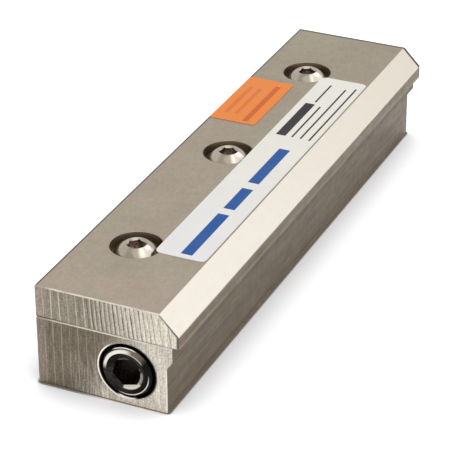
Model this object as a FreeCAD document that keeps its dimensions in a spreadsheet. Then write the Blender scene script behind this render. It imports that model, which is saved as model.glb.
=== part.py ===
import FreeCAD, Part
import os
import re

import Sketcher

# A compressed air knife, 152 mm long: a milled body, a cap that overhangs it as a lip, a comb
# shim that holds the air gap between them, the screws, a pipe plug and two labels.
#
# +X runs along the knife, the air leaves towards -Y, and +Z is up. The origin is the middle
# of the underside. The plug closes the port at -X, and the air goes in at the +X end.
#
# Threads are plain round walls. Where a screw or the plug sits in its thread, both are drawn
# at the pitch diameter and touch there. An open thread is drawn at its major diameter.

SIZES = {
    "knife_length": (152.4, "length of the body and the cap"),
    "knife_depth": (35.5, "from the back face to the front of the lip"),
    "body_height": (17.4, "underside to the parting face"),
    "air_gap": (0.05, "thickness of the shim, which is the height of the air slot"),
    "cap_height": (8.15, "thickness of the cap"),
    "lip_overhang": (1.6, "how far the lip stands out over the nose of the body"),
    "lip_height": (3.4, "upright front face of the lip"),
    "bevel_run": (4.6, "bevel above the lip, along Y"),
    "nose_height": (3.6, "upright nose of the body, under the lip"),
    "nose_slant": (2.0, "height of the slant under the nose"),
    "nose_relief": (1.5, "how far the front face stands back from the nose"),
    "edge_break": (0.25, "small chamfer on the outer edges"),
    "port_from_back": (22.7, "axis of the ports and the air chamber, from the back face"),
    "port_above_base": (8.7, "the same axis, above the underside"),
    "chamber_radius": (5.55, "air chamber, drilled from end to end"),
    "mouth_radius": (7.15, "mouth of a port"),
    "entry_radius": (6.9, "plain entry inside that mouth, which a small chamfer leads into"),
    "entry_depth": (1.2, "where the entry ends and the thread's own countersink starts"),
    "port_depth": (14.0, "depth of a port's thread"),
    "inlet_radius": (6.6, "open port, mean major radius of its thread"),
    "seat_radius": (6.2, "plugged port, pitch radius at the end face"),
    "pipe_taper": (0.03125, "a pipe thread's taper on its radius, 1 in 32"),
    "slot_length": (112.0, "slot from the chamber up to the parting face"),
    "slot_width": (4.0, "width of that slot"),
    "screw_from_back": (12.8, "line of the cap screws, from the back face"),
    "screw_pitch": (50.8, "from screw to screw"),
    "screw_count": (3, "cap screws"),
    "thread_major": (3.175, "quarter inch thread, major radius"),
    "thread_pitch": (2.76, "quarter inch thread, pitch radius"),
    "open_thread": (8.2, "depth of the open thread in the underside, for mounting"),
    "thread_mouth": (3.6, "radius of its countersunk mouth"),
    "clearance_radius": (3.4, "screw holes in the cap and the shim"),
    "bore_radius": (6.25, "counterbore round a screw head"),
    "bore_depth": (2.9, "depth of that counterbore, a little less than the head"),
    "bore_rim": (0.15, "chamfer round the counterbore's mouth"),
    "shim_inset": (0.3, "shim's edges, inside the knife's edges"),
    "shim_strip": (19.0, "closed strip at the back of the shim"),
    "shim_tab": (8.0, "closed tab at each end of the shim"),
    "finger_width": (1.6, "comb finger across the air slot"),
    "finger_pitch": (25.4, "from finger to finger"),
    "head_radius": (5.55, "button head"),
    "head_height": (3.35, "bearing face to the top of the button"),
    "head_rim": (0.5, "upright rim of the button"),
    "head_flat": (2.75, "flat ring round the socket, outer radius"),
    "screw_length": (12.7, "under the head"),
    "screw_point": (0.6, "chamfer at the screw's end"),
    "screw_socket": (3.97, "across the flats of the screw's socket"),
    "screw_socket_depth": (2.1, "depth of that socket"),
    "screw_entry": (2.5, "outer radius of the countersink into the socket"),
    "screw_entry_depth": (0.45, "depth of that countersink, at 45 degrees"),
    "screw_turn_1": (41, "how far the first screw has come to be turned, in degrees"),
    "screw_turn_2": (22, "the second screw"),
    "screw_turn_3": (28, "the third screw"),
    "plug_length": (11.1, "pipe plug"),
    "plug_proud": (0.6, "how far the plug's face stands out of the body's end face"),
    "plug_face": (5.65, "outer radius of the plug's flat face"),
    "plug_bevel": (0.55, "depth of the bevel from that face out to the thread"),
    "plug_entry": (4.6, "outer radius of the countersink into the socket"),
    "plug_entry_foot": (3.7, "inner radius of that countersink"),
    "plug_entry_depth": (0.3, "its depth"),
    "plug_turn": (15, "how far the plug has come to be turned, in degrees"),
    "plug_point": (0.7, "chamfer at the plug's inner end"),
    "plug_socket": (6.35, "across the flats of the plug's socket"),
    "plug_socket_depth": (6.5, "depth of that socket"),
    "label_thickness": (0.1, "both labels"),
    "white_length": (101.6, "white label, along X"),
    "white_width": (12.8, "white label, along Y"),
    "white_middle": (-1.3, "middle of the white label, along X"),
    "white_from_back": (24.25, "its middle, from the back face"),
    "white_corner": (1.7, "radius of its corners"),
    "orange_length": (26.0, "orange label, along X"),
    "orange_width": (12.5, "orange label, along Y"),
    "orange_middle": (28.85, "middle of the orange label, along X"),
    "orange_from_back": (6.55, "its middle, from the back face"),
    "orange_corner": (0.8, "radius of its corners"),
}

PORT_Y = "(knife_depth / 2 - port_from_back)"
SCREW_X = "(-screw_pitch * (screw_count - 1) / 2)"
SCREW_Y = "(knife_depth / 2 - screw_from_back)"
CAP_BASE = "(body_height + air_gap)"
CAP_TOP = "(body_height + air_gap + cap_height)"

doc = FreeCAD.newDocument("AirKnife")
ALIAS = re.compile(r"\b(" + "|".join(SIZES) + r")\b")


def make_sheet():
    """The driving dimensions, one to a row: the value, then what it is."""
    sheet = doc.addObject("Spreadsheet::Sheet", "Sizes")
    for row, (alias, (value, meaning)) in enumerate(SIZES.items(), start=1):
        sheet.set(f"A{row}", str(value))
        sheet.setAlias(f"A{row}", alias)
        sheet.set(f"B{row}", meaning)
    doc.recompute()


def bound(words):
    """An expression in the sheet's words, as setExpression takes it."""
    return ALIAS.sub(r"Sizes.\1", words)


def now(words):
    """What the same expression comes to, for the first place of a sketched point."""
    numbers = ALIAS.sub(lambda found: f"({SIZES[found[1]][0]})", words)
    return FreeCAD.Units.Quantity(numbers).Value


# ---------------------------------------------------------------- sketches


def new_body(name):
    body = doc.addObject("PartDesign::Body", name)
    body.Label = name
    return body


def origin_part(body, role):
    """One of the body's own origin planes or axes."""
    return next(part for part in body.Origin.OriginFeatures if part.Role == role)


def new_sketch(body, name, role, offset=()):
    """A sketch on an origin plane, shifted by (axis letter, expression) pairs."""
    sketch = body.newObject("Sketcher::SketchObject", name)
    sketch.AttachmentSupport = [(origin_part(body, role), "")]
    sketch.MapMode = "FlatFace"
    for letter, words in offset:
        sketch.setExpression(f"AttachmentOffset.Base.{letter}", bound(words))
    return sketch


def bind(sketch, constraint, words):
    number = sketch.addConstraint(constraint)
    sketch.setExpression(f"Constraints[{number}]", bound(words))


def fix_point(sketch, geometry, end, across, up):
    """Holds a point at its distances from the sketch's origin."""
    bind(sketch, Sketcher.Constraint("DistanceX", -1, 1, geometry, end, now(across)), across)
    bind(sketch, Sketcher.Constraint("DistanceY", -1, 1, geometry, end, now(up)), up)


def dome(start, stop):
    """An arc from start to stop whose centre is on the sketch's upright axis."""
    rise = (start.Length**2 - stop.Length**2) / (2 * (start.y - stop.y))
    centre = FreeCAD.Vector(0, rise, 0)
    circle = Part.Circle(centre, FreeCAD.Vector(0, 0, 1), (start - centre).Length)
    return Part.ArcOfCircle(circle, circle.parameter(start), circle.parameter(stop))


def add_outline(sketch, corners, domed=()):
    """A closed outline through the corners. The side that leaves a domed corner is an arc."""
    points = [FreeCAD.Vector(now(across), now(up), 0) for across, up in corners]
    first, count = sketch.GeometryCount, len(corners)
    for number, point in enumerate(points):
        following = points[(number + 1) % count]
        arc = corners[number] in domed
        sketch.addGeometry(dome(point, following) if arc else Part.LineSegment(point, following))
    for number, corner in enumerate(corners):
        side, next_side = first + number, first + (number + 1) % count
        sketch.addConstraint(Sketcher.Constraint("Coincident", side, 2, next_side, 1))
        fix_point(sketch, side, 1, *corner)
        if corner in domed:
            sketch.addConstraint(Sketcher.Constraint("PointOnObject", side, 3, -2))


def add_rectangle(sketch, left, right, low, high):
    add_outline(sketch, [(left, low), (right, low), (right, high), (left, high)])


def add_circle(sketch, across, up, radius):
    centre = FreeCAD.Vector(now(across), now(up), 0)
    upright = FreeCAD.Vector(0, 0, 1)
    number = sketch.addGeometry(Part.Circle(centre, upright, now(radius)))
    fix_point(sketch, number, 3, across, up)
    bind(sketch, Sketcher.Constraint("Radius", number, now(radius)), radius)


def add_hexagon(sketch, across_flats):
    """A regular hexagon round the sketch's origin, with two flats across its X axis."""
    half, corner = f"{across_flats} / 2", f"{across_flats} / sqrt(12)"
    tip = f"{across_flats} / sqrt(3)"
    right = [(half, f"-{corner}"), (half, corner), ("0 mm", tip)]
    left = [(f"-{half}", corner), (f"-{half}", f"-{corner}"), ("0 mm", f"-{tip}")]
    add_outline(sketch, right + left)


# ---------------------------------------------------------------- features


def new_feature(body, kind, name, sketch):
    feature = body.newObject(f"PartDesign::{kind}", name)
    feature.Profile = sketch
    return feature


def pad(body, sketch, length, name, symmetric=False):
    feature = new_feature(body, "Pad", name, sketch)
    feature.SideType = "Symmetric" if symmetric else "One side"
    feature.setExpression("Length", bound(length))
    return feature


def pocket(body, sketch, depth, name, symmetric=False):
    feature = new_feature(body, "Pocket", name, sketch)
    feature.SideType = "Symmetric" if symmetric else "One side"
    feature.setExpression("Length", bound(depth))
    return feature


def turn(body, kind, sketch, axis, name):
    """A full Revolution or Groove round one of the sketch's axes."""
    feature = new_feature(body, kind, name, sketch)
    feature.ReferenceAxis = (sketch, [axis])
    feature.Angle = 360
    return feature


def drill(body, sketch, radius, name, depth=None, upward=False):
    """A flat-bottomed Hole through all, or to a depth."""
    doc.recompute()
    feature = new_feature(body, "Hole", name, sketch)
    feature.Reversed = upward
    feature.DrillPoint = "Flat"
    feature.DepthType = "Dimension" if depth else "ThroughAll"
    feature.setExpression("Diameter", bound(f"2 * {radius}"))
    if depth:
        feature.setExpression("Depth", bound(depth))
    return feature


def repeat_along_knife(body, features, name):
    """The same features at every screw."""
    pattern = body.newObject("PartDesign::LinearPattern", name)
    pattern.Originals = features
    pattern.Direction = (origin_part(body, "X_Axis"), [""])
    pattern.setExpression("Length", bound("screw_pitch * (screw_count - 1)"))
    pattern.setExpression("Occurrences", bound("screw_count"))
    body.Tip = pattern
    return pattern


def edges_where(feature, wanted):
    """Names of the edges that a chamfer or fillet is to take."""
    doc.recompute()
    edges = enumerate(feature.Shape.Edges, start=1)
    return [f"Edge{number}" for number, edge in edges if wanted(edge)]


def lies_on(edge, **planes):
    """True if the whole edge is on each of the planes, such as X=76.2."""
    box = edge.BoundBox
    return all(
        abs(getattr(box, letter + end) - place) < 1e-4
        for letter, place in planes.items()
        for end in ("Min", "Max")
    )


def dress(body, kind, base, edges, size_name, words, name):
    """A Chamfer or Fillet on named edges of the base feature."""
    feature = body.newObject(f"PartDesign::{kind}", name)
    feature.Base = (base, edges)
    feature.setExpression(size_name, bound(words))
    body.Tip = feature


def place(body, **expressions):
    """Binds the body's place to the sheet."""
    for letter, words in expressions.items():
        body.setExpression(f"Placement.Base.{letter}", bound(words))


# ---------------------------------------------------------------- body


def knife_body():
    body = new_body("knife_body")
    section = new_sketch(body, "body_section", "YZ_Plane")
    back, nose = "knife_depth / 2", "lip_overhang - knife_depth / 2"
    front, slant = f"{nose} + nose_relief", "body_height - nose_height"
    add_outline(section, [
        (back, "0"), (back, "body_height"), (nose, "body_height"), (nose, slant),
        (front, f"{slant} - nose_slant"), (front, "0"),
    ])
    bar = pad(body, section, "knife_length", "body_bar", symmetric=True)
    dress(body, "Chamfer", bar, body_edges(bar), "Size", "edge_break", "body_edges")
    cut_chamber(body)
    cut_port(body, "plugged_port", "-knife_length / 2", "+", "seat_radius", "pipe_taper")
    cut_port(body, "inlet_port", "knife_length / 2", "-", "inlet_radius", "0")
    cut_tapped_holes(body)


def body_edges(bar):
    """The bar's outer edges, apart from the nose, which guides the air and stays sharp."""
    end, back, top = now("knife_length / 2"), now("knife_depth / 2"), now("body_height")
    front = now("lip_overhang + nose_relief - knife_depth / 2")
    long_edges = [{"Y": back, "Z": 0}, {"Y": back, "Z": top}, {"Y": front, "Z": 0}]
    ends = [{"X": x, key: place} for x in (-end, end)
            for key, place in (("Z", 0), ("Z", top), ("Y", back), ("Y", front))]
    return edges_where(bar, lambda edge: any(lies_on(edge, **p) for p in long_edges + ends))


def cut_chamber(body):
    """The drilled air chamber and the slot that lets its air up to the parting face."""
    drilled = new_sketch(body, "chamber_circle", "YZ_Plane")
    add_circle(drilled, PORT_Y, "port_above_base", "chamber_radius")
    pocket(body, drilled, "knife_length", "air_chamber", symmetric=True)
    milled = new_sketch(body, "slot_outline", "XY_Plane", [("z", "body_height")])
    add_rectangle(milled, "-slot_length / 2", "slot_length / 2",
                  f"{PORT_Y} - slot_width / 2", f"{PORT_Y} + slot_width / 2")
    pocket(body, milled, "body_height - port_above_base", "air_slot")


def cut_port(body, name, end, inward, radius, taper):
    """One end's pipe thread: a chamfered mouth, a plain entry, the countersunk wall, and a
    step down to the chamber."""
    profile = new_sketch(body, f"{name}_profile", "XZ_Plane",
                         [("y", "port_above_base"), ("z", f"-{PORT_Y}")])
    start, deep = f"(entry_depth + entry_radius - {radius})", f"({radius} - {taper} * port_depth)"
    bottom = f"{end} {inward} port_depth {inward} ({deep} - chamber_radius)"
    add_outline(profile, [
        (end, "0"), (end, "mouth_radius"),
        (f"{end} {inward} (mouth_radius - entry_radius)", "entry_radius"),
        (f"{end} {inward} entry_depth", "entry_radius"),
        (f"{end} {inward} {start}", f"{radius} - {taper} * {start}"),
        (f"{end} {inward} port_depth", deep),
        (bottom, "chamber_radius"), (bottom, "0"),
    ])
    turn(body, "Groove", profile, "H_Axis", name)


def cut_tapped_holes(body):
    """Tapped through: the cap screws come in from above, mounting screws from below."""
    above = new_sketch(body, "screw_thread_circle", "XY_Plane", [("z", "body_height")])
    add_circle(above, SCREW_X, SCREW_Y, "thread_pitch")
    held = drill(body, above, "thread_pitch", "screw_thread")
    below = new_sketch(body, "open_thread_circle", "XY_Plane")
    add_circle(below, SCREW_X, SCREW_Y, "thread_major")
    free = drill(body, below, "thread_major", "open_thread", "open_thread", upward=True)
    free.HoleCutType = "Countersink"
    free.setExpression("HoleCutDiameter", bound("2 * thread_mouth"))
    free.HoleCutCountersinkAngle = 90
    repeat_along_knife(body, [held, free], "thread_row")


# ---------------------------------------------------------------- cap and shim


def knife_cap():
    body = new_body("knife_cap")
    section = new_sketch(body, "cap_section", "YZ_Plane")
    back, front = "knife_depth / 2", "-knife_depth / 2"
    add_outline(section, [
        (back, CAP_BASE), (back, CAP_TOP), (f"bevel_run {front}", CAP_TOP),
        (front, f"{CAP_BASE} + lip_height"), (front, CAP_BASE),
    ])
    bar = pad(body, section, "knife_length", "cap_bar", symmetric=True)
    dress(body, "Chamfer", bar, cap_edges(bar), "Size", "edge_break", "cap_edges")
    circle = new_sketch(body, "cap_hole_circle", "XY_Plane", [("z", CAP_TOP)])
    add_circle(circle, SCREW_X, SCREW_Y, "clearance_radius")
    hole = drill(body, circle, "clearance_radius", "screw_hole")
    hole.HoleCutType = "Counterbore"
    hole.setExpression("HoleCutDiameter", bound("2 * bore_radius"))
    hole.setExpression("HoleCutDepth", bound("bore_depth"))
    row = repeat_along_knife(body, [hole], "screw_holes")
    dress(body, "Chamfer", row, bore_rims(row), "Size", "bore_rim", "bore_rims")


def bore_rims(row):
    """The counterbores' round edges in the top face."""
    top = now(CAP_TOP)
    return edges_where(row, lambda edge: lies_on(edge, Z=top) and edge.isClosed())


def cap_edges(bar):
    """The cap's back and end edges. The lip and its bevel stay sharp."""
    end, back = now("knife_length / 2"), now("knife_depth / 2")
    base, top = now(CAP_BASE), now(CAP_TOP)
    long_edges = [{"Y": back, "Z": base}, {"Y": back, "Z": top}]
    ends = [{"X": x, key: place} for x in (-end, end)
            for key, place in (("Z", base), ("Z", top), ("Y", back))]
    return edges_where(bar, lambda edge: any(lies_on(edge, **p) for p in long_edges + ends))


def comb_corners():
    """The shim's outline: a back strip and two end tabs, with fingers between them."""
    end, back = "(knife_length / 2 - shim_inset)", "knife_depth / 2 - shim_inset"
    strip = "knife_depth / 2 - shim_strip"
    tips = "lip_overhang + shim_inset - knife_depth / 2"
    corners = [(end, back), (f"-{end}", back), (f"-{end}", tips), (f"shim_tab - {end}", tips)]
    corners.append((f"shim_tab - {end}", strip))
    for step in (-1.5, -0.5, 0.5, 1.5):
        left = f"{step} * finger_pitch - finger_width / 2"
        right = f"{step} * finger_pitch + finger_width / 2"
        corners += [(left, strip), (left, tips), (right, tips), (right, strip)]
    corners += [(f"{end} - shim_tab", strip), (f"{end} - shim_tab", tips), (end, tips)]
    return corners


def gap_shim():
    body = new_body("gap_shim")
    comb = new_sketch(body, "comb", "XY_Plane", [("z", "body_height")])
    add_outline(comb, comb_corners())
    pad(body, comb, "air_gap", "shim_sheet")
    circle = new_sketch(body, "shim_hole_circle", "XY_Plane", [("z", CAP_BASE)])
    add_circle(circle, SCREW_X, SCREW_Y, "clearance_radius")
    hole = drill(body, circle, "clearance_radius", "shim_hole")
    repeat_along_knife(body, [hole], "shim_holes")


# ---------------------------------------------------------------- screws and plug


def cut_socket(body, across_flats, depth, top, turned):
    """A hexagonal socket from the top of a piece that stands on its own Z axis."""
    hexagon = new_sketch(body, "socket_hexagon", "XY_Plane", [("z", top)])
    hexagon.setExpression("AttachmentOffset.Rotation.Angle", bound(turned))
    add_hexagon(hexagon, across_flats)
    pocket(body, hexagon, depth, "socket")


def cap_screw(number):
    """A button head screw, drawn on its own axis with the bearing face at zero."""
    body = new_body(f"cap_screw_{number}")
    profile = new_sketch(body, "screw_profile", "XZ_Plane")
    rim, foot = ("head_radius", "head_rim"), "head_height - screw_entry_depth"
    add_outline(profile, [
        ("0", foot), ("0", "-screw_length"),
        ("thread_pitch - screw_point", "-screw_length"),
        ("thread_pitch", "screw_point - screw_length"),
        ("thread_pitch", "0"), ("head_radius", "0"), rim, ("head_flat", "head_height"),
        ("screw_entry", "head_height"), ("screw_entry - screw_entry_depth", foot),
    ], domed=[rim])
    turn(body, "Revolution", profile, "V_Axis", "screw_blank")
    cut_socket(body, "screw_socket", "screw_socket_depth", "head_height",
               f"screw_turn_{number}")
    place(body, x=f"{SCREW_X} + {number - 1} * screw_pitch", y=SCREW_Y,
          z=f"{CAP_TOP} - bore_depth")


def port_plug():
    """A tapered pipe plug, drawn on its own axis with its flat face at zero."""
    body = new_body("port_plug")
    profile = new_sketch(body, "plug_profile", "XZ_Plane")
    tip = "(plug_length - plug_point)"
    tip_radius = f"seat_radius - pipe_taper * ({tip} - plug_proud)"
    add_outline(profile, [
        ("0", "-plug_entry_depth"), ("0", "-plug_length"),
        (f"{tip_radius} - plug_point", "-plug_length"), (tip_radius, f"-{tip}"),
        ("seat_radius - pipe_taper * (plug_bevel - plug_proud)", "-plug_bevel"),
        ("plug_face", "0"), ("plug_entry", "0"), ("plug_entry_foot", "-plug_entry_depth"),
    ])
    turn(body, "Revolution", profile, "V_Axis", "plug_blank")
    cut_socket(body, "plug_socket", "plug_socket_depth", "0", "plug_turn")
    body.Placement = FreeCAD.Placement(
        FreeCAD.Vector(), FreeCAD.Rotation(FreeCAD.Vector(0, 1, 0), -90))
    place(body, x="-plug_proud - knife_length / 2", y=PORT_Y, z="port_above_base")


# ---------------------------------------------------------------- labels


def label(name, words):
    """A rounded sheet on top of the cap, drawn about its own middle."""
    body = new_body(name)
    outline = new_sketch(body, "label_outline", "XY_Plane")
    add_rectangle(outline, f"-{words}_length / 2", f"{words}_length / 2",
                  f"-{words}_width / 2", f"{words}_width / 2")
    sheet = pad(body, outline, "label_thickness", "label_sheet")
    upright = edges_where(sheet, lambda edge: abs(edge.tangentAt(edge.FirstParameter).z) > 0.9)
    dress(body, "Fillet", sheet, upright, "Radius", f"{words}_corner", "label_corners")
    place(body, x=f"{words}_middle", y=f"knife_depth / 2 - {words}_from_back", z=CAP_TOP)


# ---------------------------------------------------------------- build and write


def check_and_write():
    """Stops at any failed feature or bad shape. Only then is each body written."""
    doc.recompute()
    for item in doc.Objects:
        if "Invalid" in item.State or "Error" in item.State:
            raise RuntimeError(f"{item.Name} failed: {item.State}")
    bodies = [item for item in doc.Objects if item.TypeId == "PartDesign::Body"]
    for body in bodies:
        shape = body.Shape
        if shape.isNull() or not shape.isValid() or len(shape.Solids) != 1:
            raise RuntimeError(f"{body.Label} is not one sound solid")
    os.makedirs("parts", exist_ok=True)
    for body in bodies:
        body.Shape.exportStep(os.path.join("parts", f"{body.Label}.step"))
        print(f"{body.Label}: {body.Shape.Volume:.1f} mm3")


make_sheet()
knife_body()
knife_cap()
gap_shim()
for screw in range(1, SIZES["screw_count"][0] + 1):
    cap_screw(screw)
port_plug()
label("white_label", "white")
label("orange_label", "orange")
check_and_write()
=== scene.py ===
# %% [markdown]
# # Dressing a compressed air knife
#
# An air knife is a straight steel bar that blows a thin sheet of compressed air. The solids come
# from CAD, already in place, so this notebook adds only what makes them look made of something:
# the finish of each machined face, the threads, the print on the labels, the light and the camera.
#
# The frame is loaded first. Its own box is kept, so that the end can print how far anything has
# grown.

import math

import bmesh
import bpy
from mathutils import Matrix, Vector


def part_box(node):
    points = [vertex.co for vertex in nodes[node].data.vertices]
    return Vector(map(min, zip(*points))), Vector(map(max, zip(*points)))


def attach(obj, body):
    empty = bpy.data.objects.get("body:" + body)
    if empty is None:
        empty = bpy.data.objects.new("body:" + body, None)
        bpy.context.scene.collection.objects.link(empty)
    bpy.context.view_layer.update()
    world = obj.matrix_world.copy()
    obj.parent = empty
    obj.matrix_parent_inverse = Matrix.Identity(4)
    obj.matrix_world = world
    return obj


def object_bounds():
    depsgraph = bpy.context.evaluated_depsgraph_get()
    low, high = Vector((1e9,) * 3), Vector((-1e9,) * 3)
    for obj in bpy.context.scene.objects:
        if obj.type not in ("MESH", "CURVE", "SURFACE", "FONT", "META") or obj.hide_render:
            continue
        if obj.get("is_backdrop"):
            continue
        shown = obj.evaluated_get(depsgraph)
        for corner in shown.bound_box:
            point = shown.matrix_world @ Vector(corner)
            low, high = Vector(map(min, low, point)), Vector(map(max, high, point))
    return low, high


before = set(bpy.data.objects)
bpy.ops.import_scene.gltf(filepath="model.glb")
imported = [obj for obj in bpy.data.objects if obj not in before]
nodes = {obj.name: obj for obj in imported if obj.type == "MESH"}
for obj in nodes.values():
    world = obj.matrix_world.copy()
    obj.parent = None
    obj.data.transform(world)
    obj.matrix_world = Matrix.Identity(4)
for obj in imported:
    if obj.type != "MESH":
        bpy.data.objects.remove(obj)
cad_box = [list(corner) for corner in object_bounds()]
MM = 0.001

print("nodes:", ", ".join(sorted(nodes)))
print("size in mm:", [round((high - low) / MM, 1) for low, high in zip(*cad_box)])

# %% [markdown]
# ## Camera
#
# A catalogue picture of a small part is taken from far off with a long lens, so that its long
# edges stay nearly parallel. Here the camera is built from what one would say in a studio: what
# it aims at, how far off it stands, and how far round and up. One matrix then turns it, which is
# safer than a tracking constraint, because nothing is left to be solved later.

# %% Camera
AIM = Vector((0.06, 5.99, 4.58)) * MM
DISTANCE = 545.94 * MM
ROUND, UP, ROLL = math.radians(-65.355), math.radians(29.156), math.radians(-0.342)
LENS = 172.97

lens = bpy.data.cameras.new("long_lens")
lens.lens = LENS
lens.clip_start = 10 * MM
camera = bpy.data.objects.new("camera", lens)
bpy.context.scene.collection.objects.link(camera)
turned = (Matrix.Rotation(ROUND, 4, "Z") @ Matrix.Rotation(math.pi / 2 - UP, 4, "X")
          @ Matrix.Rotation(ROLL, 4, "Z"))
camera.matrix_world = Matrix.Translation(AIM) @ turned @ Matrix.Translation((0, 0, DISTANCE))
bpy.context.scene.camera = camera
bpy.context.scene.view_settings.view_transform = "Standard"
print("camera at, in mm:", [round(value / MM, 1) for value in camera.matrix_world.translation])

# %% [markdown]
# ## Helpers for node trees
#
# Every material below is a small network. A few helpers keep the cells short: one adds a node and
# fills its inputs, from numbers or from other nodes' outputs, and the others do one sum, one
# blend or one change of range each.

# %% Node helpers


def add(tree, kind, inputs=(), **settings):
    """Adds a node. Inputs are (name or number, value or another node's output) pairs."""
    made = tree.nodes.new(kind)
    for name, value in settings.items():
        setattr(made, name, value)
    for key, value in dict(inputs).items():
        if isinstance(value, bpy.types.NodeSocket):
            tree.links.new(value, made.inputs[key])
        else:
            made.inputs[key].default_value = value
    return made


def maths(tree, operation, *values, clamp=False):
    """One sum on one to three values. Gives the output socket."""
    made = add(tree, "ShaderNodeMath", enumerate(values), operation=operation, use_clamp=clamp)
    return made.outputs[0]


def times(tree, first, *others):
    """Multiplies masks together."""
    for other in others:
        first = maths(tree, "MULTIPLY", first, other)
    return first


def ramp(tree, value, start, stop, low=0.0, high=1.0, smooth=True):
    """Takes value from start..stop to low..high, and holds it there outside."""
    made = add(tree, "ShaderNodeMapRange", {
        "Value": value, "From Min": start, "From Max": stop, "To Min": low, "To Max": high,
    }, interpolation_type="SMOOTHSTEP" if smooth else "LINEAR", clamp=True)
    return made.outputs["Result"]


def mix(tree, factor, first, second):
    """Lays the second colour over the first by a factor."""
    made = add(tree, "ShaderNodeMix", {0: factor, 6: first, 7: second}, data_type="RGBA")
    return made.outputs[2]


def shaded(tree, tone, mask, spread):
    """A colour made darker or lighter by up to spread, by a mask."""
    level = ramp(tree, mask, 0.0, 1.0, 1 - spread, 1 + spread, smooth=False)
    plain = tone if isinstance(tone, bpy.types.NodeSocket) else tone[:3]
    return add(tree, "ShaderNodeVectorMath", {0: plain, 3: level}, operation="SCALE").outputs[0]


def split(tree, vector):
    """The X, Y and Z of a vector."""
    return add(tree, "ShaderNodeSeparateXYZ", {0: vector}).outputs


def colour(red, green, blue):
    """A screen colour, 0 to 255, as the linear one that a shader takes, by the sRGB curve."""
    parts = (value / 255 for value in (red, green, blue))
    linear = [part / 12.92 if part <= 0.04045 else ((part + 0.055) / 1.055) ** 2.4
              for part in parts]
    return (*linear, 1.0)


print("a mid grey, 119, is", round(colour(119, 119, 119)[0], 3), "to a shader")

# %% [markdown]
# A material starts from the same few nodes each time: object coordinates, which stay with the
# piece when it moves, scaled to millimetres so that every size below can be read off a drawing.
# A shader group starts from its own sockets. Both get a short function.

# %% Starting a material and a group
FLOAT, VECTOR = "NodeSocketFloat", "NodeSocketVector"


def new_material(name):
    """An empty material, its tree, object coordinates in millimetres, and the normal."""
    made = bpy.data.materials.new(name)
    made.use_nodes = True
    tree = made.node_tree
    tree.nodes.clear()
    where = add(tree, "ShaderNodeTexCoord")
    scaled = add(tree, "ShaderNodeVectorMath", {0: where.outputs["Object"], 3: 1 / MM},
                 operation="SCALE")
    return made, tree, scaled.outputs[0], where.outputs["Normal"]


def finish_material(tree, base, roughness, metallic, height=None, depth=0.02):
    """The surface itself, with a bump of depth millimetres, straight to the output."""
    surface = add(tree, "ShaderNodeBsdfPrincipled", {
        "Base Color": base, "Roughness": roughness, "Metallic": metallic})
    if height is not None:
        bump = add(tree, "ShaderNodeBump", {"Height": height, "Distance": depth * MM})
        tree.links.new(bump.outputs[0], surface.inputs["Normal"])
    output = add(tree, "ShaderNodeOutputMaterial")
    tree.links.new(surface.outputs[0], output.inputs["Surface"])
    return surface


def new_group(name, takes, gives):
    """A shader group. takes is (name, socket kind, value), gives is (name, socket kind)."""
    group = bpy.data.node_groups.new(name, "ShaderNodeTree")
    for label, kind, value in takes:
        socket = group.interface.new_socket(name=label, in_out="INPUT", socket_type=kind)
        if value is not None:
            socket.default_value = value
    for label, kind in gives:
        group.interface.new_socket(name=label, in_out="OUTPUT", socket_type=kind)
    return group, add(group, "NodeGroupInput").outputs, add(group, "NodeGroupOutput").inputs


def place_group(tree, group, **inputs):
    """The group as a node with this material's own values. Gives its outputs."""
    return add(tree, "ShaderNodeGroup", inputs, node_tree=group).outputs


def dress(node, material):
    """Gives a CAD node its material."""
    slots = nodes[node].data.materials
    slots.clear()
    slots.append(material)
    print(node, "wears", material.name)


print("every pattern below is in millimetres")

# %% [markdown]
# ## Shared effects
#
# Machined metal is never one colour. A few effects recur on this knife, so each is a group that
# is built once and placed with its own values. They could be painted by hand or taken from
# pictures, but noise in object coordinates has no seams, keeps its true scale, and costs nothing
# to change.
#
# The first two are noise: grain, drawn out along the way that the tool went, and smudges, the
# faint clouds that handling and uneven grinding leave. Below, a layer of grain is three values:
# how finely it repeats along each axis, its contrast, and how far it shades the tone.

# %% Grain and smudges
SMALL_SHARE, SMALLER = 0.35, 9.0

grain, takes, gives = new_group(
    "grain",
    [("Vector", VECTOR, None), ("Stretch", VECTOR, (1, 1, 1)), ("Contrast", FLOAT, 1.0)],
    [("Mask", FLOAT)])
drawn = add(grain, "ShaderNodeVectorMath", {0: takes["Vector"], 1: takes["Stretch"]},
            operation="MULTIPLY")
noise = add(grain, "ShaderNodeTexNoise",
            {"Vector": drawn.outputs[0], "Scale": 1.0, "Detail": 4.0, "Roughness": 0.65})
centred = maths(grain, "SUBTRACT", noise.outputs["Fac"], 0.5)
spread = maths(grain, "MULTIPLY_ADD", centred, takes["Contrast"], 0.5, clamp=True)
grain.links.new(spread, gives["Mask"])

smudges, takes, gives = new_group(
    "smudges", [("Vector", VECTOR, None), ("Size", FLOAT, 12.0)], [("Mask", FLOAT)])
often = maths(smudges, "DIVIDE", 1.0, takes["Size"])
large = add(smudges, "ShaderNodeTexNoise",
            {"Vector": takes["Vector"], "Scale": often, "Detail": 1.0})
small = add(smudges, "ShaderNodeTexNoise", {
    "Vector": takes["Vector"], "Scale": maths(smudges, "MULTIPLY", often, SMALLER),
    "Detail": 3.0, "Roughness": 0.6})
both = maths(smudges, "MULTIPLY_ADD", small.outputs["Fac"], SMALL_SHARE,
             maths(smudges, "MULTIPLY", large.outputs["Fac"], 1 - SMALL_SHARE))
smudges.links.new(ramp(smudges, both, 0.3, 0.7), gives["Mask"])


def grained(tree, spot, stretch, contrast):
    """A mask of grain, finest along the axes with the largest stretch."""
    return place_group(tree, grain, Vector=spot, Stretch=stretch, Contrast=contrast)["Mask"]


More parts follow.
